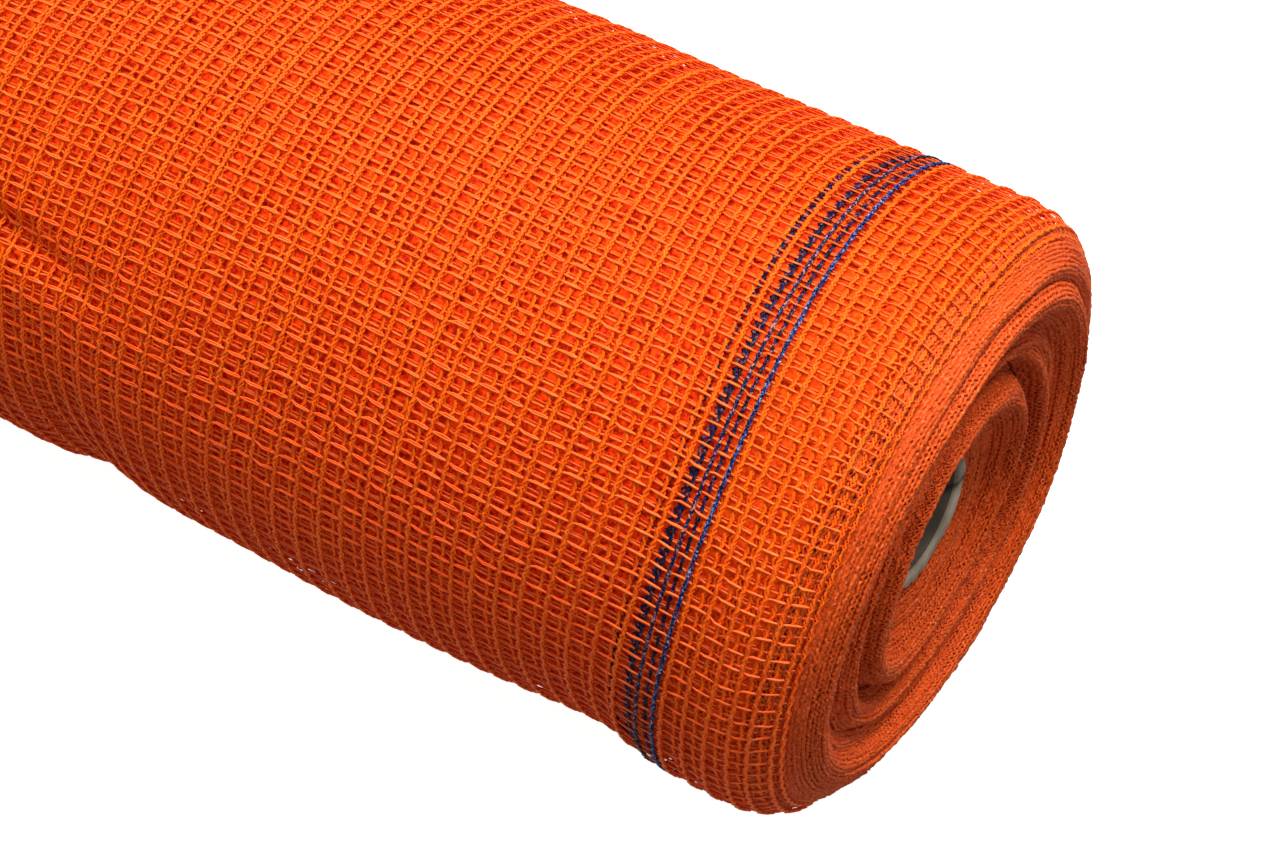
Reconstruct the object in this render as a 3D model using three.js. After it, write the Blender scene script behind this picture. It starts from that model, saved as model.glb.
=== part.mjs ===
// Roll of debris netting: a knitted mesh web wound on a cardboard tube, lying on its side.
// Millimetres, +Z up. The roll lies along X, and the origin is at the middle of its underside.
import * as THREE from 'three';
import { mergeVertices } from 'three/addons/utils/BufferGeometryUtils.js';

// The wound netting.
const webWidth = 2000;        // width of the web, so the length of the roll along X
const rollWidth = 234;        // across the lying roll, along Y
const rollHeight = 208.7;     // a little less, because the soft winding settles under its own weight
const shoulderRadius = 29;    // rounding where the outer layers run over the edge of the end

// The cardboard tube.
const tubeOuter = 50;
const tubeWall = 5;
const tubeRecess = 12;        // how far the tube stops behind the crest of each end
const windingGap = 0.3;       // between the tube and the first layer

// The turns, as they show on the ends. Each modelled ridge stands for a few thin layers.
const turnPitch = 4.6;
const turnRelief = 1.3;
const rootRecess = 13;        // the first layers, behind the mouth of the tube
const innerLipRecess = 3;
const foldRecess = 10;
const outerLipRecess = 3;
const hollowRecess = 5;
const grooveDepth = 4;        // the dark gap between the wound layers and the last loose ones
const grooveWidth = 7;
const edgeInset = 11;         // the last layer's edge lies this far inside the roll's surface

// Where the folds lie, as shares of the way from the bore out to the crest of the end.
const foldStations = [
  { share: 0, recess: rootRecess },
  { share: 0.42, recess: innerLipRecess },
  { share: 0.54, recess: foldRecess },
  { share: 0.65, recess: outerLipRecess },
  { share: 0.78, recess: hollowRecess },
  { share: 1, recess: 0 },
];

const segments = 40;
const shoulderSteps = 5;

const rollRadius = rollWidth / 2;
const tubeRadius = tubeOuter / 2;
const boreRadius = tubeRadius + windingGap;
const crestRadius = rollRadius - shoulderRadius;
const edgeRadius = rollRadius - edgeInset;
const settled = rollHeight / rollWidth;
const axisHeight = rollHeight / 2;
const flatToCorner = 1 / Math.cos(Math.PI / segments);   // sizes are held across the flats of the facets

const orange = new THREE.MeshStandardMaterial({ color: 0xf0591a, roughness: 0.75, metalness: 0 });
const cardboard = new THREE.MeshStandardMaterial({ color: 0x9c8d78, roughness: 0.9, metalness: 0 });

// Recess of the folded end behind its crest, between the bore and the crest.
function foldedRecess(radius) {
  const share = (radius - boreRadius) / (crestRadius - boreRadius);
  const next = foldStations.findIndex((station) => station.share >= share);
  const outer = foldStations[Math.max(next, 1)];
  const inner = foldStations[Math.max(next, 1) - 1];
  const ease = THREE.MathUtils.smoothstep(share, inner.share, outer.share);
  return THREE.MathUtils.lerp(inner.recess, outer.recess, ease);
}

// Recess of the rounded shoulder, with the groove just outside the crest.
function shoulderRecess(radius) {
  const out = radius - crestRadius;
  const round = shoulderRadius - Math.sqrt(shoulderRadius ** 2 - out ** 2);
  const groove = out < grooveWidth ? grooveDepth * Math.sin((Math.PI * out) / grooveWidth) : 0;
  return round + groove;
}

function endRecess(radius) {
  return radius < crestRadius ? foldedRecess(radius) : shoulderRecess(radius);
}

// Half profile of one end, from the bore out to the roll's surface, as radius and distance behind the crest.
function endProfile() {
  const points = [{ radius: boreRadius, recess: rootRecess + turnRelief }];
  const inward = Math.floor((crestRadius - boreRadius) / turnPitch - 0.5);
  const outward = Math.floor((edgeRadius - crestRadius) / turnPitch - 0.5);
  for (let k = -inward; k <= outward; k += 1) {
    const ridge = crestRadius + k * turnPitch;
    const valley = ridge + turnPitch / 2;
    points.push({ radius: ridge, recess: endRecess(ridge) });
    points.push({ radius: valley, recess: endRecess(valley) + turnRelief });
  }
  const startAngle = Math.asin((edgeRadius - crestRadius) / shoulderRadius);
  for (let i = 0; i <= shoulderSteps; i += 1) {
    const angle = THREE.MathUtils.lerp(startAngle, Math.PI / 2, i / shoulderSteps);
    points.push({
      radius: crestRadius + shoulderRadius * Math.sin(angle),
      recess: shoulderRadius * (1 - Math.cos(angle)),
    });
  }
  return points;
}

// A profile turned about X, with a facet centred underneath.
function turnedAboutX(profile) {
  const turned = new THREE.LatheGeometry(profile, segments, Math.PI / segments);
  turned.deleteAttribute('normal');
  turned.deleteAttribute('uv');
  const closed = mergeVertices(turned, 1e-3);
  closed.rotateZ(-Math.PI / 2);
  closed.scale(1, flatToCorner, flatToCorner);
  return closed;
}

// The winding settles: the layers round the stiff tube stay round, and the outermost are the flattest.
function settle(geometry) {
  const position = geometry.getAttribute('position');
  for (let i = 0; i < position.count; i += 1) {
    const radius = Math.hypot(position.getY(i), position.getZ(i)) / flatToCorner;
    const softness = THREE.MathUtils.smoothstep(radius, boreRadius, rollRadius);
    position.setZ(i, position.getZ(i) * THREE.MathUtils.lerp(1, settled, softness));
  }
  return geometry;
}

function namedMesh(name, geometry, material) {
  geometry.computeVertexNormals();
  const mesh = new THREE.Mesh(geometry, material);
  mesh.name = name;
  mesh.position.z = axisHeight;
  return mesh;
}

function makeNettingRoll() {
  const end = endProfile();
  const crestX = webWidth / 2;
  const lowEnd = end.map((p) => new THREE.Vector2(p.radius, p.recess - crestX));
  const highEnd = end.map((p) => new THREE.Vector2(p.radius, crestX - p.recess)).reverse();
  const profile = [...lowEnd, ...highEnd, lowEnd[0].clone()];
  return namedMesh('netting_roll', settle(turnedAboutX(profile)), orange);
}

function makeCoreTube() {
  const end = webWidth / 2 - tubeRecess;
  const inner = tubeRadius - tubeWall;
  const profile = [
    new THREE.Vector2(inner, -end),
    new THREE.Vector2(tubeRadius, -end),
    new THREE.Vector2(tubeRadius, end),
    new THREE.Vector2(inner, end),
    new THREE.Vector2(inner, -end),
  ];
  return namedMesh('core_tube', turnedAboutX(profile), cardboard);
}

const group = new THREE.Group();
group.add(makeNettingRoll(), makeCoreTube());

export default group;
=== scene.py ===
"""A roll of orange debris netting on its cardboard tube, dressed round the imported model.

The knitted web is drawn thread by thread: chains of loops that run round the roll, and laid-in threads that
run along it. Lengths are millimetres until a mesh is written, and only the stage, light and camera are in
metres. Angles go round the roll from its top towards -Y.
"""
import math

import bpy
import numpy as np
from mathutils import Matrix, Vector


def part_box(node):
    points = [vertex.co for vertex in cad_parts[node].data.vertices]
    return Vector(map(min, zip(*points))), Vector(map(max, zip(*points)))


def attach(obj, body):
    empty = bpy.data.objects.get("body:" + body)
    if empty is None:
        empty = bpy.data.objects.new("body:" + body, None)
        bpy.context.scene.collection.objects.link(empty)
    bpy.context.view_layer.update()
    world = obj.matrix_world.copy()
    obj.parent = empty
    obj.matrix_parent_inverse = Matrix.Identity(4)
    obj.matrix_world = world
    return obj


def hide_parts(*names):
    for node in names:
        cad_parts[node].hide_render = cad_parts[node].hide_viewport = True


MM = 0.001
TURN = 2 * math.pi

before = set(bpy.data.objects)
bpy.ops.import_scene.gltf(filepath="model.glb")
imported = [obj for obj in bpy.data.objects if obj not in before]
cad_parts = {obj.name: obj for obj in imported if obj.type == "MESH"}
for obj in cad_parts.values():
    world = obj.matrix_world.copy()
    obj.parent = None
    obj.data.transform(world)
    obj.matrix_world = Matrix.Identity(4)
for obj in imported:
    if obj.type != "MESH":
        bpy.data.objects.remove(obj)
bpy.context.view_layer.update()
roll_low, roll_high = (np.array(corner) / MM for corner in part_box("netting_roll"))
tube_low, tube_high = (np.array(corner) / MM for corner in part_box("core_tube"))

# The roll, from the frame.
CREST_X = roll_high[0]
RADIUS = (roll_high[1] - roll_low[1]) / 2
SETTLED = (roll_high[2] - roll_low[2]) / (roll_high[1] - roll_low[1])
AXIS_Z = (roll_high[2] + roll_low[2]) / 2
SHOULDER = 29.0               # rounding where the outer layers run over the edge of the end
CREST_RADIUS = RADIUS - SHOULDER
EDGE_INSET = 11.0             # the last layer's edge lies this far inside the roll's surface

# The cardboard tube.
TUBE_RADIUS = (tube_high[1] - tube_low[1]) / 2
TUBE_END = tube_high[0]
TUBE_WALL = 5.0
WINDING_GAP = 0.3             # between the tube and the first layer
BORE_RADIUS = TUBE_RADIUS + WINDING_GAP
RIM_BEVEL = 0.7
RIM_HOLLOW = 0.4
RIM_RAGGED = 0.25
SEAM_PITCH = 118.0
SEAM_PHASE = 100.383          # in turns: the fraction places the seam, the rest keeps the count positive

# The knitted web.
ROWS_PER_TURN = 104
CELL = 8.85                   # from chain to chain
EDGE_CELL = 7.6               # the same beside the web's edges
EDGE_CELLS = 5
MARKER_OFFSET = 2.8           # from the last edge chain to the first marker thread
MARKER_SPACING = 6.1
MARKER_CLEARANCE = 8.1        # from the second marker thread to the next chain
TAIL_ANGLE = math.radians(205)

# How the turns lie on each other.
LAYERS = 3                    # turns that are drawn thread by thread
TOP_DEPTH = 0.9               # of the outer turn under the roll's surface
LAYER_STEP = 1.3
LAYER_SHIFT = 3.7             # each turn's edge lies this much further in than the one above it
THIRD_SHIFT = 1.8             # and the third turn's this much more
EDGE_DRIFT = 8.5              # half of how far the edge wanders in, on the side opposite DRIFT_HEADING
DRIFT_HEADING = math.radians(74)

# Fine stitches go where the roll's end and the flank in front of it are looked at closely.
CLOSE_CHAINS = 41
CLOSE_FROM = math.radians(-80)
CLOSE_TO = math.radians(150)

# Dents in the soft winding. Distances along the roll are from the crest of the photographed end.
SLACK = 0.6
PINCHES = ((76, 4.2, 15, 34), (290, 5.0, 20, 12))   # place, depth, and reach towards the end and away from it
PINCH_HEADING = math.radians(112)
PINCH_SPREAD = math.radians(30)
CREASE_STARTS = (250, 335)
CREASE_ENDS = (420, 520)
CREASE_AT = 314               # where its heading is CREASE_DEGREES
CREASE_DEGREES = 57
CREASE_SLOPE = 0.09           # degrees for each millimetre towards the end
CREASE_DEPTH = 5.6
CREASE_SWELLING = 2.5         # of the netting beside it

rng = np.random.default_rng(11)


# Shape of the roll

def smooth(value, start, end):
    """0 before start, 1 after end, and an even rise between them."""
    share = np.clip((value - start) / (end - start), 0, 1)
    return share * share * (3 - 2 * share)


def bump(value, centre, reach):
    """1 at the centre, and falling away on both sides."""
    return np.exp(-((value - centre) / reach) ** 2)


def heading_from(angle, middle=0.0):
    """The angle from that middle, between half a turn back and half a turn on."""
    return np.mod(angle - middle + math.pi, TURN) - math.pi


def waves(seed, terms, highest, size):
    """A smooth function of an angle: terms sines of up to the highest count round the circle."""
    own = np.random.default_rng(seed)
    count = own.integers(1, highest + 1, terms)
    phase = own.uniform(0, TURN, terms)
    height = own.normal(0, 1, terms) * size / math.sqrt(terms)

    def at(angle, shift=0.0):
        sines = enumerate(zip(count, phase, height), start=1)
        return sum(h * np.sin(c * angle + p + shift * i) for i, (c, p, h) in sines)

    return at


swell_round = waves(3, 7, 4, 1.0)
chain_drift = waves(5, 6, 4, 1.5)
row_drift = waves(6, 6, 3, 2.0)


def swell(x, angle):
    """How far the soft winding stands out or sinks in, along and round the roll."""
    along = CREST_X - x
    heading = heading_from(angle)
    slow = 0.9 * swell_round(angle, x / 210) + 0.5 * swell_round(2 * angle + 1, x / 90)
    low = bump(heading, PINCH_HEADING, PINCH_SPREAD)
    pinch = sum(
        depth * bump(along, at, np.where(along < at, before, beyond)) for at, depth, before, beyond in PINCHES
    )
    fold = heading - np.radians(CREASE_DEGREES + CREASE_SLOPE * (CREASE_AT - along))
    length = smooth(along, *CREASE_STARTS) * (1 - smooth(along, *CREASE_ENDS))
    crease = length * (CREASE_DEPTH * bump(fold, 0, 0.05) - CREASE_SWELLING * bump(fold, 0.14, 0.08))
    return slow - SLACK - low * pinch - crease


def place(x, angle, radius):
    """Points on the settled roll. The layers near the stiff tube stay round."""
    flat = 1 - (1 - SETTLED) * smooth(radius, BORE_RADIUS, RADIUS)
    z = AXIS_Z + radius * np.cos(angle) * flat
    return np.stack(np.broadcast_arrays(x, -radius * np.sin(angle), z), -1)


# Turns of the web

EDGE_BEND = math.asin((SHOULDER - EDGE_INSET) / SHOULDER)
SHOULDER_LENGTH = SHOULDER * (math.pi / 2 - EDGE_BEND)
WEB_WIDTH = 2 * (CREST_X - SHOULDER + SHOULDER_LENGTH)

# Share of a turn's length that is used at each angle from the web's loose end.
round_angle = np.linspace(0, TURN, 721)
round_step = np.hypot(np.cos(round_angle + TAIL_ANGLE), SETTLED * np.sin(round_angle + TAIL_ANGLE))
round_share = np.concatenate([[0], np.cumsum((round_step[1:] + round_step[:-1]) / 2)])
TURN_LENGTH = RADIUS * round_share[-1] * (round_angle[1] - round_angle[0])
round_share = round_share / round_share[-1]
turn_lengths = TURN_LENGTH - TURN * LAYER_STEP * np.arange(LAYERS + 1)
turn_starts = np.concatenate([[0], np.cumsum(turn_lengths)])
ROW = TURN_LENGTH / ROWS_PER_TURN


def along_turns(run):
    """(angle, layers down) of a place along the web, counted from its loose end on the outside."""
    layer = np.clip(np.searchsorted(turn_starts, run, side="right") - 1, 0, LAYERS)
    share = (run - turn_starts[layer]) / turn_lengths[layer]
    return TAIL_ANGLE + np.interp(share, round_share, round_angle) + TURN * layer, layer + share


def web_place(run, across, lift):
    """Points of the web: run goes along it, across from its photographed edge, and lift off its surface."""
    angle, layers_down = along_turns(run)
    far = across > WEB_WIDTH / 2
    inward = np.where(far, WEB_WIDTH - across, across)
    inner = smooth(inward, 20, 70)
    drift = EDGE_DRIFT * (1 - np.cos(angle - DRIFT_HEADING)) * (0.6 + 0.4 * smooth(inward, 8, 42))
    drift = drift * (1 - smooth(inward, 120, 420)) + inner * chain_drift(angle, inward / 110)
    angle = angle + inner * row_drift(angle, inward / 120) / RADIUS
    inward = inward + drift + LAYER_SHIFT * layers_down + THIRD_SHIFT * smooth(layers_down, 1.9, 2.3)
    arc = SHOULDER - TOP_DEPTH - LAYER_STEP * layers_down + lift
    bend = np.minimum(EDGE_BEND + inward / SHOULDER, math.pi / 2)
    recess = SHOULDER - arc * np.cos(bend) + np.maximum(inward - SHOULDER_LENGTH, 0)
    x = np.where(far, -1, 1) * (CREST_X - recess)
    return place(x, angle, CREST_RADIUS + arc * np.sin(bend) + swell(x, angle) * smooth(inward, 0, 30))


def chain_positions():
    """Distances of the chains from the photographed edge, and those of the two marker threads."""
    edge = [EDGE_CELL * i for i in range(EDGE_CELLS + 1)]
    marker = [edge[-1] + MARKER_OFFSET, edge[-1] + MARKER_OFFSET + MARKER_SPACING]
    body_start = marker[1] + MARKER_CLEARANCE
    body_end = WEB_WIDTH - edge[-1] - CELL
    count = round((body_end - body_start) / CELL)
    body = np.linspace(body_start, body_end, count + 1)
    far_edge = [WEB_WIDTH - e for e in reversed(edge)]
    return np.array([*edge, *body, *far_edge]), np.array(marker)


chains_at, markers_at = chain_positions()
CLOSE_WIDTH = chains_at[CLOSE_CHAINS - 1]


# Meshes

THREAD_CORNERS = 3
MAP_ROW_FILL = 0.9            # how much of its row a side of a tube takes up in the map
PROBE = 0.5                   # step that finds a direction on the web


class Strands:
    """Collects thin tubes for one object, with a map that gives every side of a tube a row of its own."""

    def __init__(self):
        self.points = []
        self.faces = []
        self.maps = []
        self.rows = 0
        self.used = 0

    def add(self, centre, side, out, wide, high, closed=False):
        """centre, side and out are (tubes, samples, 3); wide and high are half sizes along side and out."""
        tubes, samples = centre.shape[:2]
        corners = THREAD_CORNERS
        spin = TURN * (np.arange(corners) + 0.5) / corners + math.pi / 2
        wide = np.broadcast_to(wide, (tubes, samples))[..., None, None] * np.cos(spin)[:, None]
        high = np.broadcast_to(high, (tubes, samples))[..., None, None] * np.sin(spin)[:, None]
        ring = wide * side[:, :, None] + high * out[:, :, None]
        self.points.append((centre[:, :, None] + ring).reshape(-1, 3))
        tube, sample, corner = np.meshgrid(
            np.arange(tubes), np.arange(samples if closed else samples - 1), np.arange(corners), indexing="ij"
        )
        after = (sample + 1) % samples
        beside = (corner + 1) % corners
        first = self.used + tube * samples * corners
        quad = np.stack([
            first + sample * corners + corner,
            first + sample * corners + beside,
            first + after * corners + beside,
            first + after * corners + corner,
        ], -1).reshape(-1, 4)
        row = self.rows + tube * corners + corner
        row_top = row + MAP_ROW_FILL
        start, end = sample / samples, (sample + 1) / samples
        uv = np.stack([
            np.stack([start, row], -1),
            np.stack([start, row_top], -1),
            np.stack([end, row_top], -1),
            np.stack([end, row], -1),
        ], -2).reshape(-1, 4, 2)
        along = centre[:, 1:2] - centre[:, 0:1]
        if (np.cross(side[:, 0:1], out[:, 0:1]) * along).sum(-1).mean() > 0:
            quad = quad[:, ::-1]
            uv = uv[:, ::-1]
        self.faces.append(quad)
        self.maps.append(uv)
        self.used += tubes * samples * corners
        self.rows += tubes * corners

    def build(self, name, material):
        maps = np.concatenate(self.maps)
        maps[..., 1] /= max(self.rows, 1)
        return write_mesh(name, np.concatenate(self.points), np.concatenate(self.faces), (material,), maps)


def write_mesh(name, points, faces, materials, maps=None, which=None):
    """A smooth-shaded object of four-sided faces, from points in millimetres.

    which has the number of each face's material.
    """
    mesh = bpy.data.meshes.new(name)
    mesh.vertices.add(len(points))
    mesh.vertices.foreach_set("co", (points * MM).astype(np.float32).ravel())
    mesh.loops.add(faces.size)
    mesh.loops.foreach_set("vertex_index", faces.astype(np.int32).ravel())
    mesh.polygons.add(len(faces))
    mesh.polygons.foreach_set("loop_start", np.arange(0, faces.size, 4, dtype=np.int32))
    if maps is not None:
        layer = mesh.uv_layers.new(name="OFBake")
        layer.data.foreach_set("uv", maps.astype(np.float32).ravel())
    for material in materials:
        mesh.materials.append(material)
    if which is not None:
        mesh.polygons.foreach_set("material_index", np.asarray(which, dtype=np.int32))
    mesh.update(calc_edges=True)
    mesh.validate()
    mesh.shade_smooth()
    piece = bpy.data.objects.new(name, mesh)
    bpy.context.scene.collection.objects.link(piece)
    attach(piece, "root")
    return piece


def write_turned(name, loop, materials, which, flipped=False):
    """A body turned about the roll's axis, from its rings of points, where the last ring joins the first."""
    count, around = loop.shape[:2]
    ring, step = np.meshgrid(np.arange(count), np.arange(around), indexing="ij")
    after = (ring + 1) % count
    beside = (step + 1) % around
    quads = np.stack([
        ring * around + step,
        after * around + step,
        after * around + beside,
        ring * around + beside,
    ], -1).reshape(-1, 4)
    if flipped:
        quads = quads[:, ::-1]
    return write_mesh(name, loop.reshape(-1, 3), quads, materials, which=which)


def unit(vectors):
    return vectors / np.linalg.norm(vectors, axis=-1, keepdims=True)


def chain_tubes(strands, run, across, lift, half_wide, half_high):
    """Adds tubes that follow the web round the roll, one for each row of run."""
    run, across, lift = np.broadcast_arrays(run, across, lift)
    centre = web_place(run, across, lift)
    away = unit(web_place(run, across, lift + PROBE) - centre)
    ahead = unit(np.gradient(centre, axis=1))
    side = unit(np.cross(away, ahead))
    strands.add(centre, side, np.cross(ahead, side), half_wide, half_high)


def laid_tubes(strands, run, across, lift, half_wide, half_high):
    """Adds tubes that run across the web, one for each row of run."""
    run, across, lift = np.broadcast_arrays(run, across, lift)
    centre = web_place(run, across, lift)
    side = unit(web_place(run + PROBE, across, lift) - web_place(run - PROBE, across, lift))
    out = unit(web_place(run, across, lift + PROBE) - centre)
    strands.add(centre, side, out, half_wide, half_high)


# Materials

def new_material(name):
    """A material with its node tree and its shader."""
    material = bpy.data.materials.new(name)
    material.use_nodes = True
    tree = material.node_tree
    return material, tree, tree.nodes["Principled BSDF"]


def object_coordinates(tree):
    return tree.nodes.new("ShaderNodeTexCoord").outputs["Object"]


def noise_of(tree, coordinates, scale, detail):
    noise = tree.nodes.new("ShaderNodeTexNoise")
    noise.inputs["Scale"].default_value = scale
    noise.inputs["Detail"].default_value = detail
    tree.links.new(coordinates, noise.inputs["Vector"])
    return noise.outputs["Fac"]


def ramp_of(tree, share, stops):
    """The colour at that share of a ramp, from its stops of (position, colour)."""
    ramp = tree.nodes.new("ShaderNodeValToRGB")
    elements = ramp.color_ramp.elements
    while len(elements) < len(stops):
        elements.new(0.5)
    for element, (position, colour) in zip(elements, stops):
        element.position = position
        element.color = (*colour, 1)
    tree.links.new(share, ramp.inputs["Fac"])
    return ramp.outputs["Color"]


def add_relief(tree, shader, height, strength, distance):
    """A bump of that height on the shader's surface."""
    relief = tree.nodes.new("ShaderNodeBump")
    relief.inputs["Strength"].default_value = strength
    relief.inputs["Distance"].default_value = distance
    tree.links.new(height, relief.inputs["Height"])
    tree.links.new(relief.outputs["Normal"], shader.inputs["Normal"])


def thread_material(name, stops, scale, roughness, specular, sheen=0.0):
    """A thread's colour, uneven along it, with a fine bump of filaments."""
    material, tree, shader = new_material(name)
    coordinates = object_coordinates(tree)
    tone = noise_of(tree, coordinates, scale, 2.0)
    tree.links.new(ramp_of(tree, tone, stops), shader.inputs["Base Color"])
    shader.inputs["Roughness"].default_value = roughness
    shader.inputs["Specular IOR Level"].default_value = specular
    shader.inputs["Sheen Weight"].default_value = sheen
    shader.inputs["Sheen Roughness"].default_value = 0.4
    shader.inputs["Sheen Tint"].default_value = (1.0, 0.62, 0.5, 1)
    filaments = noise_of(tree, coordinates, 2600, 1.0)
    add_relief(tree, shader, filaments, 0.35, 0.0003)
    return material


chain_orange = thread_material("chain_orange", [
    (0.3, (0.9, 0.088, 0.001)),
    (0.55, (0.97, 0.122, 0.002)),
    (0.75, (1.0, 0.165, 0.005)),
], scale=230.0, roughness=0.45, specular=0.14)
thread_orange = thread_material("laid_thread_orange", [
    (0.3, (0.93, 0.11, 0.008)),
    (0.6, (1.0, 0.148, 0.02)),
    (0.8, (1.0, 0.19, 0.045)),
], scale=230.0, roughness=0.45, specular=0.15)
# The ends' orange: the netting's own orange darkened as painted shade of the stacked edges, with pale pink
# flecks that are painted highlights.
end_orange_painted_shade = thread_material("selvage_orange_painted_shade_highlight", [
    (0.3, (0.48, 0.048, 0.003)),
    (0.5, (0.65, 0.077, 0.005)),
    (0.64, (0.8, 0.12, 0.018)),
    (0.76, (0.9, 0.27, 0.14)),
], scale=1100.0, roughness=0.6, specular=0.15, sheen=0.06)
# The deeper layers' surface: the threads' orange with dark red patches that are painted shade in the holes
# between the deeper threads. The far copy paints lighter shade.
deep_orange_painted_shade = thread_material("wound_layers_painted_shade", [
    (0.38, (0.4, 0.012, 0.0004)),
    (0.5, (0.82, 0.04, 0.001)),
    (0.64, (1.0, 0.085, 0.002)),
], scale=620.0, roughness=0.8, specular=0.08)
far_orange_painted_shade = thread_material("wound_layers_far_painted_shade", [
    (0.38, (0.52, 0.034, 0.001)),
    (0.5, (0.8, 0.066, 0.001)),
    (0.64, (0.95, 0.1, 0.002)),
], scale=620.0, roughness=0.8, specular=0.08)
# The palest pink-grey flecks of the blue marker are painted glints; its navy and blue are the thread's own.
marker_blue = thread_material("marker_blue", [
    (0.45, (0.003, 0.005, 0.035)),
    (0.53, (0.012, 0.045, 0.22)),
    (0.6, (0.04, 0.15, 0.42)),
    (0.68, (0.5, 0.35, 0.35)),
], scale=1100.0, roughness=0.4, specular=0.15)
marker_flecked = thread_material("marker_flecked", [
    (0.47, (0.003, 0.005, 0.035)),
    (0.55, (0.01, 0.02, 0.1)),
    (0.61, (0.2, 0.2, 0.28)),
    (0.66, (0.9, 0.16, 0.02)),
], scale=900.0, roughness=0.4, specular=0.2)
# The marker threads of the lower turns: the markers' own navy, darkened further as painted shade, with a few
# dull orange flecks.
marker_navy_painted_shade = thread_material("marker_navy_painted_shade", [
    (0.45, (0.003, 0.004, 0.02)),
    (0.58, (0.008, 0.02, 0.1)),
    (0.66, (0.4, 0.09, 0.03)),
], scale=700.0, roughness=0.5, specular=0.2)


# Threads of the web

STITCHES_PER_ROW = 4
MARKER_STITCHES = 5
STITCH_CYCLE = np.array([1, 1, -1, -1])
STITCH_SIDE = 0.5             # how far a chain's threads swing to its sides
STITCH_LIFT = 0.26            # and over and under each other
PLAITED_LAYERS = 2
CHAIN_LIFT = 0.3
CHAIN_HALF = 0.58             # half width of a thread of a close chain
PLAIN_CHAIN_HALF = 0.95
CHAIN_FLATNESS = 0.92         # height over width
DEEP_MARKER_SHIFT = 2.2       # how much further in the third turn's marker threads lie
LAID_SINK = 0.1
LAID_HALF_HIGH = 0.24
FAR_LIFT = 0.1

# Places in the gap between two chains, and how far a laid thread's bundles part there.
GAP_PLACES = np.array([0.0, 0.32, 0.68])
GAP_PARTING = np.array([0.0, 0.9, 0.9])

# The laid threads of each turn: the sides of their bundles, whether they bend between the chains, and their
# half widths between the chains and at them.
LAID_TURNS = (
    ((-1, 1), True, 0.4, 0.28),
    ((0,), True, 0.6, 0.45),
    ((0,), False, 0.6, 0.45),
)

web_rows = np.arange(int(turn_starts[LAYERS] / ROW))
row_angle, row_depth = along_turns(web_rows * ROW)
row_layer = row_depth.astype(int)
row_close = (row_angle - CLOSE_FROM) % TURN < CLOSE_TO - CLOSE_FROM


def plait(strands, at, layers, seed, tightness=1.0, stitches=STITCHES_PER_ROW):
    """Chains of stitches at those distances across the web.

    In the close part, a chain is two threads that cross at each stitch, or in the third turn one thread that
    winds from side to side. Elsewhere it is one plain thread.
    """
    own = np.random.default_rng(seed)
    at = np.asarray(at)[:, None]
    sway_size = own.normal(0, 0.35, at.shape)
    sway_length = own.uniform(5, 14, at.shape)
    sway_phase = own.uniform(0, TURN, at.shape)
    for layer in layers:
        for close in (True, False):
            signs = (1, -1) if close and layer < PLAITED_LAYERS else (1,)
            count = stitches if close else 1
            half = CHAIN_HALF * tightness if close else PLAIN_CHAIN_HALF
            rows = web_rows[(row_layer == layer) & (row_close == close)]
            for part in np.split(rows, np.flatnonzero(np.diff(rows) > 1) + 1):
                row = np.arange(len(part) * count + 1) / count + part[0]
                shape = (len(at), len(row))
                sway = sway_size * np.sin(row / sway_length + sway_phase)
                turn = np.where(np.arange(len(row)) % 2, 1, -1)
                over = STITCH_CYCLE[np.arange(len(row)) % len(STITCH_CYCLE)]
                for sign in signs:
                    kick = own.normal(0, 0.08 * close, shape)
                    side = STITCH_SIDE * tightness * turn * sign * close
                    lift = CHAIN_LIFT + STITCH_LIFT * sign * over * close + own.normal(0, 0.06, shape)
                    across = at + side + sway + kick
                    chain_tubes(strands, row[None] * ROW, across, lift, half, CHAIN_FLATNESS * half)


def near_chains():
    """The chains of the photographed end and the flank beside it, and some more at the lower turns' edges."""
    half = CLOSE_CHAINS // 2
    end_chains, body_chains = Strands(), Strands()
    plait(end_chains, chains_at[:half], range(LAYERS), seed=21)
    for layer in range(1, LAYERS):
        plait(end_chains, -EDGE_CELL * np.arange(1, layer + 1), (layer,), seed=23)
    plait(body_chains, chains_at[half:CLOSE_CHAINS], range(LAYERS), seed=22)
    return [
        end_chains.build("knitted_chains_end", chain_orange),
        body_chains.build("knitted_chains_body", chain_orange),
    ]


def marker_threads():
    """The two marker threads of the outer turn, and those of the turns below it."""
    blue, flecked, below = Strands(), Strands(), Strands()
    plait(blue, markers_at[:1], (0,), seed=31, tightness=0.88, stitches=MARKER_STITCHES)
    plait(flecked, markers_at[1:], (0,), seed=32, tightness=0.8, stitches=MARKER_STITCHES)
    # The lower turns' marker threads are drawn in the darker copy with painted shade.
    plait(below, markers_at, (1,), seed=33, tightness=0.82)
    plait(below, markers_at + DEEP_MARKER_SHIFT, (2,), seed=34, tightness=1.5)
    return [
        blue.build("marker_thread_blue", marker_blue),
        flecked.build("marker_thread_flecked", marker_flecked),
        below.build("marker_threads_below", marker_navy_painted_shade),
    ]


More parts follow.
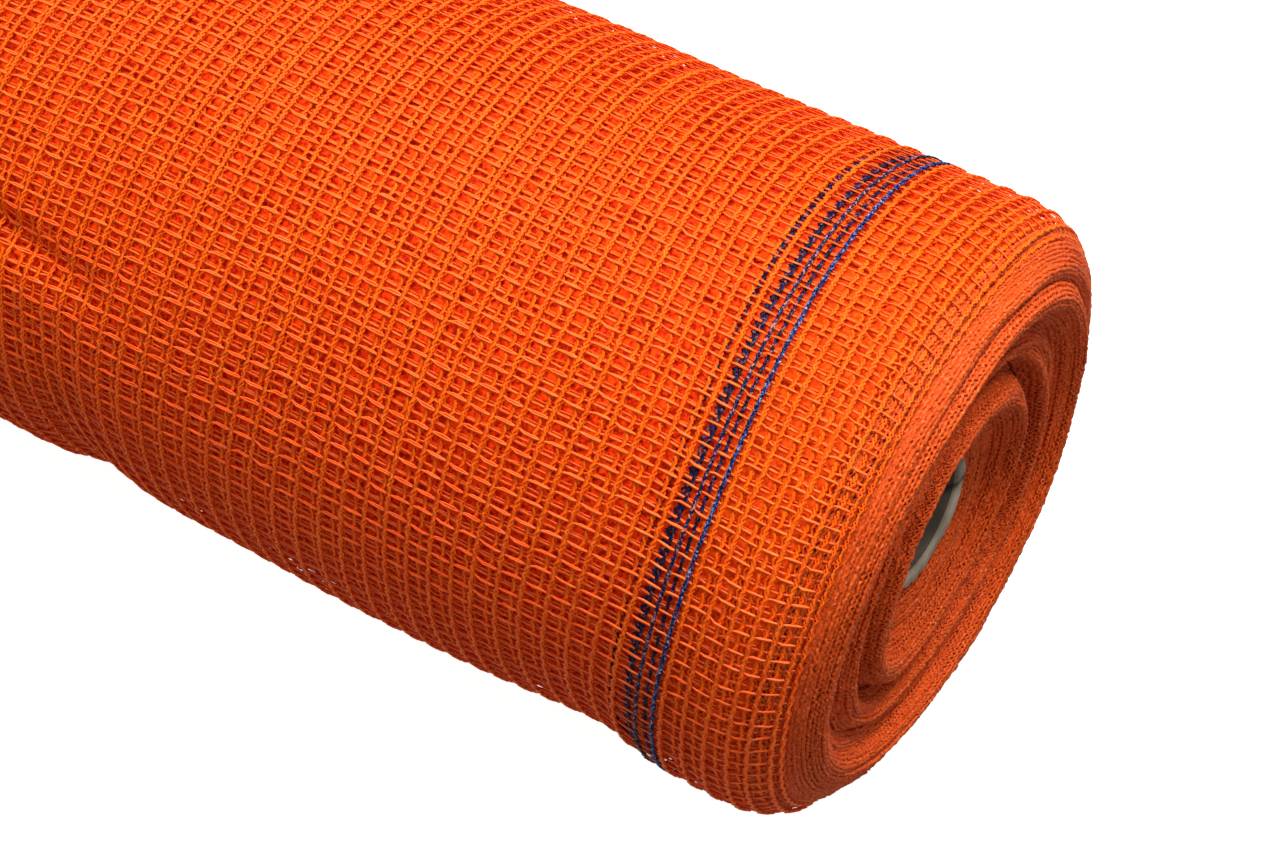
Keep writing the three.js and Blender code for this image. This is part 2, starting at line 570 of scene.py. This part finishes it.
def laid_threads():
    """Threads laid across the web: flat bundles that part between the chains and meet at them."""
    strands = Strands()
    stops = np.sort(np.concatenate([chains_at[:CLOSE_CHAINS], markers_at]))
    gaps = np.diff(stops)[:, None]
    across = np.append(stops[:-1, None] + gaps * GAP_PLACES, stops[-1])
    parting = np.append(np.minimum(gaps / CELL, 1) * GAP_PARTING, 0)
    every = np.arange(len(across))
    stop_before = every // len(GAP_PLACES)
    only_stops = np.append(every[:-1:len(GAP_PLACES)], every[-1])
    jitter = rng.normal(0, 0.3, (len(web_rows), len(stops)))
    droop = rng.normal(0, 0.15, (len(web_rows), len(across)))
    for layer, (signs, bends, open_half, tied_half) in enumerate(LAID_TURNS):
        chosen = np.flatnonzero(row_close & (row_layer == layer))
        picks = every if bends else only_stops
        parted = parting[picks]
        run = web_rows[chosen][:, None] * ROW + jitter[chosen][:, stop_before[picks]]
        reach = np.append(-EDGE_CELL * layer, across[picks][1:])
        half = np.where(parted > 0, open_half, tied_half)
        for sign in signs:
            width = rng.uniform(0.12, 0.34, (len(chosen), 1)) * smooth(across[picks], 40, 130)[None] + 0.1
            bow = sign * parted * width + rng.normal(0, 0.06, (len(chosen), len(picks)))
            lift = droop[chosen][:, picks] * (parted > 0) - LAID_SINK + LAID_SINK * sign
            laid_tubes(strands, run + bow, reach, lift, half[None], LAID_HALF_HIGH)
    hidden = web_rows[~row_close & (row_depth < LAYERS)]
    laid_tubes(strands, hidden[:, None] * ROW, stops[::2], 0.0, 0.5, 0.25)
    return strands.build("laid_threads_end", thread_orange)


def far_web():
    """The rest of the outer turn, out to the other end, with simpler and thicker threads."""
    rows = np.arange(ROWS_PER_TURN + 1)
    at = chains_at[CLOSE_CHAINS - 1:]
    chains, threads = Strands(), Strands()
    wander = rng.normal(0, 0.25, (len(at), len(rows)))
    chain_tubes(chains, (rows * ROW)[None], at[:, None] + wander, FAR_LIFT, PLAIN_CHAIN_HALF, 0.87)
    across = np.append(at[:-1:2], at[-1])
    wobble = rng.normal(0, 0.25, (len(rows), len(across)))
    laid_tubes(threads, rows[:, None] * ROW + wobble, across, FAR_LIFT, 0.85, 0.3)
    return [
        chains.build("knitted_chains_far", chain_orange),
        threads.build("laid_threads_far", thread_orange),
    ]


# Ends of the roll

# Where the folds lie, as shares of the way from the bore out to the crest, and how far behind the crest.
FOLD_SHARES = np.array([0, 0.2, 0.42, 0.54, 0.65, 0.78, 1])
FOLD_RECESSES = np.array([14, 11.5, 2.2, 11.5, 3, 6.5, 0])
CREST_RECESS = 0.3
GROOVE_RADIUS = CREST_RADIUS + 6
GROOVE_DEPTH = 3.4
GROOVE_HEADING = -1.2         # where the groove is open widest
INNER_LIP_RADIUS = 50
INNER_LIP_LEAN = 2.6          # how far the inner lip leans out towards NEAR_SIDE
NEAR_SIDE = math.radians(37)
OUTER_DROP = 1.6              # how far the outermost rings sink, and up to three times that at the front
FANS = ((-58, 26, 0.0), (135, 22, 1.5))   # middle and spread in degrees, and phase
FAN_RADIUS = 66
FAN_PITCH = 7.5
FAN_DEPTH = 1.5
RING_STEP = 1.5
LOOP_LENGTH = 2.2

sway_a = waves(41, 4, 3, 1.6)
sway_b = waves(42, 5, 3, 1.4)
tilt = waves(43, 5, 3, 1.1)


def fold_recess(radius):
    """Mean recess of the end: the folds inside its crest, and the round shoulder outside it."""
    share = (radius - BORE_RADIUS) / (CREST_RADIUS - BORE_RADIUS)
    after = np.clip(np.searchsorted(FOLD_SHARES, share), 1, len(FOLD_SHARES) - 1)
    rise = smooth(share, FOLD_SHARES[after - 1], FOLD_SHARES[after])
    folded = FOLD_RECESSES[after - 1] + (FOLD_RECESSES[after] - FOLD_RECESSES[after - 1]) * rise
    out = np.clip(radius - CREST_RADIUS, 0, SHOULDER)
    return np.where(radius < CREST_RADIUS, folded, SHOULDER - np.sqrt(SHOULDER ** 2 - out ** 2))


def fan_recess(radius, angle):
    """Fine folds that fan out from the outer lip, in two places round the end."""
    fans = 0
    for middle, spread, phase in FANS:
        heading = heading_from(angle, math.radians(middle))
        ripple = np.cos(TURN * radius / FAN_PITCH + 3 * heading + phase)
        fans = fans + bump(heading, 0, math.radians(spread)) * ripple
    return FAN_DEPTH * fans * bump(radius, FAN_RADIUS, 17)


def end_place(radius, angle, end, proud=0.0):
    """Points of an end, from the mean radius and the height off it. The folds wander as they go round."""
    free = smooth(radius, BORE_RADIUS, BORE_RADIUS + 15)
    free = free * (1 - smooth(radius, CREST_RADIUS + 8, CREST_RADIUS + 18))
    moved = radius + free * (sway_a(angle) + sway_b(angle, radius / 25))
    moved = moved - 1.2 * smooth(radius, CREST_RADIUS + 8, RADIUS)
    opening = 0.35 + 0.65 * smooth(np.cos(angle - GROOVE_HEADING), -0.3, 0.7)
    groove = GROOVE_DEPTH * bump(radius, GROOVE_RADIUS, 2.6) * opening
    towards_front = 1 + np.cos(angle - DRIFT_HEADING)
    drop = OUTER_DROP * smooth(radius, CREST_RADIUS + 4, CREST_RADIUS + 10)
    drop = drop + OUTER_DROP * towards_front * smooth(radius, CREST_RADIUS + 8, CREST_RADIUS + 16)
    lip = -INNER_LIP_LEAN * np.cos(angle - NEAR_SIDE) * bump(radius, INNER_LIP_RADIUS, 9)
    tilted = free * tilt(angle, radius / 30) * 0.8
    recess = fold_recess(radius) + tilted + groove + drop + lip + fan_recess(radius, angle) + CREST_RECESS
    return place(end * (CREST_X - recess + proud), angle, moved)


def ring_radii(step):
    """Mean radii of the web's edges, at even steps along the folded profile."""
    radius = np.linspace(BORE_RADIUS + 0.6, CREST_RADIUS + 23, 2000)
    run = np.concatenate([[0], np.cumsum(np.hypot(np.diff(radius), np.diff(fold_recess(radius))))])
    return np.interp(np.arange(0, run[-1], step), run, radius)


def selvage_turns(name, end, step, loop_length, thick):
    """The edges of the layers: each turn shows the last chain of the web as a line of small loops."""
    own = np.random.default_rng(51)
    strands = Strands()
    radii = ring_radii(step)
    stand = own.normal(0, 0.32, len(radii))
    stand = 0.6 * stand + 0.4 * np.roll(stand, 1)
    for i, radius in enumerate(radii):
        samples = 2 * round(TURN * radius / loop_length)
        angle = TURN * np.arange(samples) / samples
        zig = np.where(np.arange(samples) % 2, 1, -1)
        ripple = sum(own.normal(0, 0.12) * np.sin(m * angle + own.uniform(0, TURN)) for m in (2, 3, 5, 8, 13))
        outer = smooth(radius, CREST_RADIUS + 2, CREST_RADIUS + 10)
        proud = stand[i] + ripple + own.normal(0, 0.15 * thick, samples)
        spread = radius + (0.34 - 0.16 * outer) * zig * thick + own.normal(0, 0.15 * thick, samples)
        centre = end_place(spread, angle, end, proud)[None]
        side = unit(end_place(spread + 0.3, angle, end, proud) - end_place(spread - 0.3, angle, end, proud))
        around = unit(np.roll(centre, -1, 1) - np.roll(centre, 1, 1))
        out = unit(np.cross(around, side[None])) * end
        fat = thick * (1 + 0.4 * outer)
        strands.add(centre, side[None], out, 0.82 * fat, 0.68 * fat, closed=True)
    # The loops take the ends' orange, with its painted shade and painted highlights.
    return strands.build(name, end_orange_painted_shade)


def wound_layers():
    """The closed body of the deeper layers, seen through the web's holes and behind the ends' threads."""
    around = 144
    angle = TURN * np.arange(around) / around
    end_radii = np.linspace(BORE_RADIUS, CREST_RADIUS + 16, 46)
    under = TOP_DEPTH + LAYER_STEP * (LAYERS + 0.4) + 0.3
    arc = SHOULDER - under
    bends = np.linspace(EDGE_BEND + 0.1, math.pi / 2, 8)
    ends = []
    for end in (1, -1):
        face = [end_place(r, angle, end, -0.2) for r in end_radii]
        shoulder = [
            place(end * (CREST_X - SHOULDER + arc * math.cos(b)), angle, CREST_RADIUS + arc * math.sin(b))
            for b in bends
        ]
        ends.append(face + shoulder)
    close_rings = np.linspace(SHOULDER + 12, 440, 46)
    far_rings = np.linspace(530, 2 * CREST_X - SHOULDER - 12, 12)
    body_x = CREST_X - np.append(close_rings, far_rings)
    body = [place(x, angle, RADIUS - under + swell(x, angle)) for x in body_x]
    loop = np.array(ends[0] + body + ends[1][::-1])
    ring = np.arange(len(loop)).repeat(around)
    on_end = np.minimum(ring, len(loop) - 1 - ring) < len(end_radii)
    recess = CREST_X - loop[..., 0].ravel()
    # Lighter and duller painted shade next to the end, and where only the coarse threads cover it.
    lighter_painted_shade = (recess > CLOSE_WIDTH + 12) | (recess < 46)
    which = np.where(on_end, 1, np.where(lighter_painted_shade, 2, 0))
    return write_turned("wound_layers", loop, (deep_orange_painted_shade, end_orange_painted_shade, far_orange_painted_shade), which, flipped=True)


# Cardboard tube

CARDBOARD_STOPS = ((0.3, (0.16, 0.125, 0.085)), (0.55, (0.3, 0.25, 0.18)), (0.75, (0.42, 0.36, 0.28)))
SEAM_STOPS = ((0.0, (0.25,) * 3), (0.012, (0.3,) * 3), (0.03, (1.0,) * 3), (0.5, (0.8,) * 3))


def math_of(tree, operation, first, second):
    """The result of a sum on two sockets or numbers."""
    node = tree.nodes.new("ShaderNodeMath")
    node.operation = operation
    for socket, value in zip(node.inputs, (first, second)):
        if isinstance(value, (int, float)):
            socket.default_value = value
        else:
            tree.links.new(value, socket)
    return node.outputs["Value"]


def seam_share(tree, coordinates):
    """How far each place is from the edge of the wound paper strip, as a share of the strip's width."""
    apart = tree.nodes.new("ShaderNodeSeparateXYZ")
    tree.links.new(coordinates, apart.inputs["Vector"])
    height = math_of(tree, "SUBTRACT", apart.outputs["Z"], AXIS_Z * MM)
    heading = math_of(tree, "DIVIDE", math_of(tree, "ARCTAN2", apart.outputs["Y"], height), TURN)
    windings = math_of(tree, "DIVIDE", apart.outputs["X"], SEAM_PITCH * MM)
    spiral = math_of(tree, "ADD", heading, windings)
    return math_of(tree, "FRACT", math_of(tree, "ADD", spiral, SEAM_PHASE), 0.0)


def product_of(tree, first, second):
    """The product of two colours."""
    node = tree.nodes.new("ShaderNodeMix")
    node.data_type = "RGBA"
    node.blend_type = "MULTIPLY"
    node.inputs["Factor"].default_value = 1.0
    colour_inputs = (socket for socket in node.inputs if socket.type == "RGBA")
    for socket, colour in zip(colour_inputs, (first, second)):
        tree.links.new(colour, socket)
    return next(socket for socket in node.outputs if socket.type == "RGBA")


def cardboard_material(name, shade):
    """Matt paper of that brightness, where a low brightness is painted shade, wound in a spiral whose edges
    show as a thin dark seam.
    """
    material, tree, shader = new_material(name)
    coordinates = object_coordinates(tree)
    fibres = noise_of(tree, coordinates, 90, 6.0)
    paper = ramp_of(tree, fibres, [(at, tuple(shade * v for v in colour)) for at, colour in CARDBOARD_STOPS])
    seam = ramp_of(tree, seam_share(tree, coordinates), SEAM_STOPS)
    tree.links.new(product_of(tree, paper, seam), shader.inputs["Base Color"])
    shader.inputs["Roughness"].default_value = 0.9
    add_relief(tree, shader, fibres, 0.5, 0.0006)
    return material


def cardboard_tube():
    """The tube with its bore, and a rim that is bevelled, a little hollow and slightly ragged."""
    around = 96
    angle = TURN * np.arange(around) / around
    inner = TUBE_RADIUS - TUBE_WALL
    ragged = RIM_RAGGED * np.clip(1 + waves(61, 14, 30, 1.0)(angle), 0, 3)
    rim = [
        (inner, RIM_BEVEL),
        (inner + RIM_BEVEL, 0),
        (inner + TUBE_WALL / 2, RIM_HOLLOW),
        (TUBE_RADIUS - RIM_BEVEL, 0),
        (TUBE_RADIUS, RIM_BEVEL),
    ]
    rings = [place(-TUBE_END + inset + ragged, angle, r) for r, inset in rim]
    rings += [place(TUBE_END - inset - ragged, angle, r) for r, inset in reversed(rim)]
    rings += [place(x, angle, inner) for x in np.linspace(TUBE_END - 2, -TUBE_END + 2, 30)]
    bore_painted_shade = np.arange(len(rings)).repeat(around) >= 2 * len(rim)
    # The bore takes a much darker copy of the paper: painted shade inside the tube.
    materials = (cardboard_material("cardboard", 1.3), cardboard_material("cardboard_bore_painted_shade", 0.42))
    return write_turned("cardboard_tube", np.array(rings), materials, bore_painted_shade)


# Stage, light and camera, in metres

FLOOR_REACH = 12.0

# The photo's viewpoint, fitted to the outline of the roll and to the mouth of the tube.
PHOTO_SIZE = np.array([1280, 854])
END_PIXEL = np.array([963.1, 538.1])   # where the middle of the crest's plane lies in the photo
CAMERA_AZIMUTH = math.radians(32.628)
CAMERA_ELEVATION = math.radians(48.857)
CAMERA_DISTANCE = 0.85


def floor():
    """A pale floor that shows behind the roll and leaves its lighting alone."""
    mesh = bpy.data.meshes.new("floor")
    corners = [(x * FLOOR_REACH, y * FLOOR_REACH, 0) for x, y in ((-1, -1), (1, -1), (1, 1), (-1, 1))]
    mesh.from_pydata(corners, [], [(0, 1, 2, 3)])
    material, _, shader = new_material("pale_floor")
    shader.inputs["Base Color"].default_value = (0.35, 0.35, 0.35, 1)
    shader.inputs["Roughness"].default_value = 0.9
    shader.inputs["Emission Color"].default_value = (1, 1, 1, 1)
    shader.inputs["Emission Strength"].default_value = 0.95
    mesh.materials.append(material)
    plane = bpy.data.objects.new("floor", mesh)
    bpy.context.scene.collection.objects.link(plane)
    plane.visible_diffuse = False
    plane.visible_glossy = False


def stand_up(thing, stand, aside, above, forward):
    """Puts a lamp or a camera into the scene at that place, looking forward."""
    turned = Matrix(np.column_stack([aside, above, -forward])).to_4x4()
    thing.matrix_world = Matrix.Translation(stand) @ turned
    bpy.context.scene.collection.objects.link(thing)


def area_light(name, stand, target, size, power):
    light = bpy.data.lights.new(name, "AREA")
    light.shape = "DISK"
    light.size = size
    light.energy = power
    forward = unit(np.array(target) - np.array(stand))
    aside = unit(np.cross(forward, (0.0, 0.0, 1.0)))
    stand_up(bpy.data.objects.new(name, light), stand, aside, np.cross(aside, forward), forward)


def world_light(strength):
    world = bpy.data.worlds.new("studio")
    world.use_nodes = True
    background = world.node_tree.nodes["Background"]
    background.inputs["Color"].default_value = (1, 1, 1, 1)
    background.inputs["Strength"].default_value = strength
    bpy.context.scene.world = world


def camera():
    data = bpy.data.cameras.new("camera")
    data.lens = 73.4
    data.sensor_width = 36
    data.clip_start = 0.01
    view = bpy.data.objects.new("camera", data)
    level = math.cos(CAMERA_ELEVATION)
    forward = np.array([
        -math.sin(CAMERA_AZIMUTH) * level, math.cos(CAMERA_AZIMUTH) * level, -math.sin(CAMERA_ELEVATION)
    ])
    aside = np.array([math.cos(CAMERA_AZIMUTH), math.sin(CAMERA_AZIMUTH), 0])
    above = np.cross(aside, forward)
    focal = data.lens / data.sensor_width * PHOTO_SIZE[0]
    off = (END_PIXEL - PHOTO_SIZE / 2) / focal * CAMERA_DISTANCE
    end_centre = np.array([CREST_X, 0, AXIS_Z]) * MM
    stand = end_centre - forward * CAMERA_DISTANCE - aside * off[0] + above * off[1]
    stand_up(view, stand, aside, above, forward)
    bpy.context.scene.camera = view


camera()
floor()
world_light(strength=0.44)
area_light("softbox_above", stand=(1.1, 0.42, 2.0), target=(0.85, 0.0, 0.1), size=1.2, power=68.0)
bpy.context.scene.view_settings.view_transform = "Standard"

netting = [*near_chains(), *marker_threads(), laid_threads(), *far_web()]
netting.append(selvage_turns("selvage_turns_near", 1, RING_STEP, LOOP_LENGTH, 1.0))
netting.append(selvage_turns("selvage_turns_far", -1, 2 * RING_STEP, 2 * LOOP_LENGTH, 1.8))
body = wound_layers()
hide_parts("netting_roll")
tube = cardboard_tube()
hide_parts("core_tube")
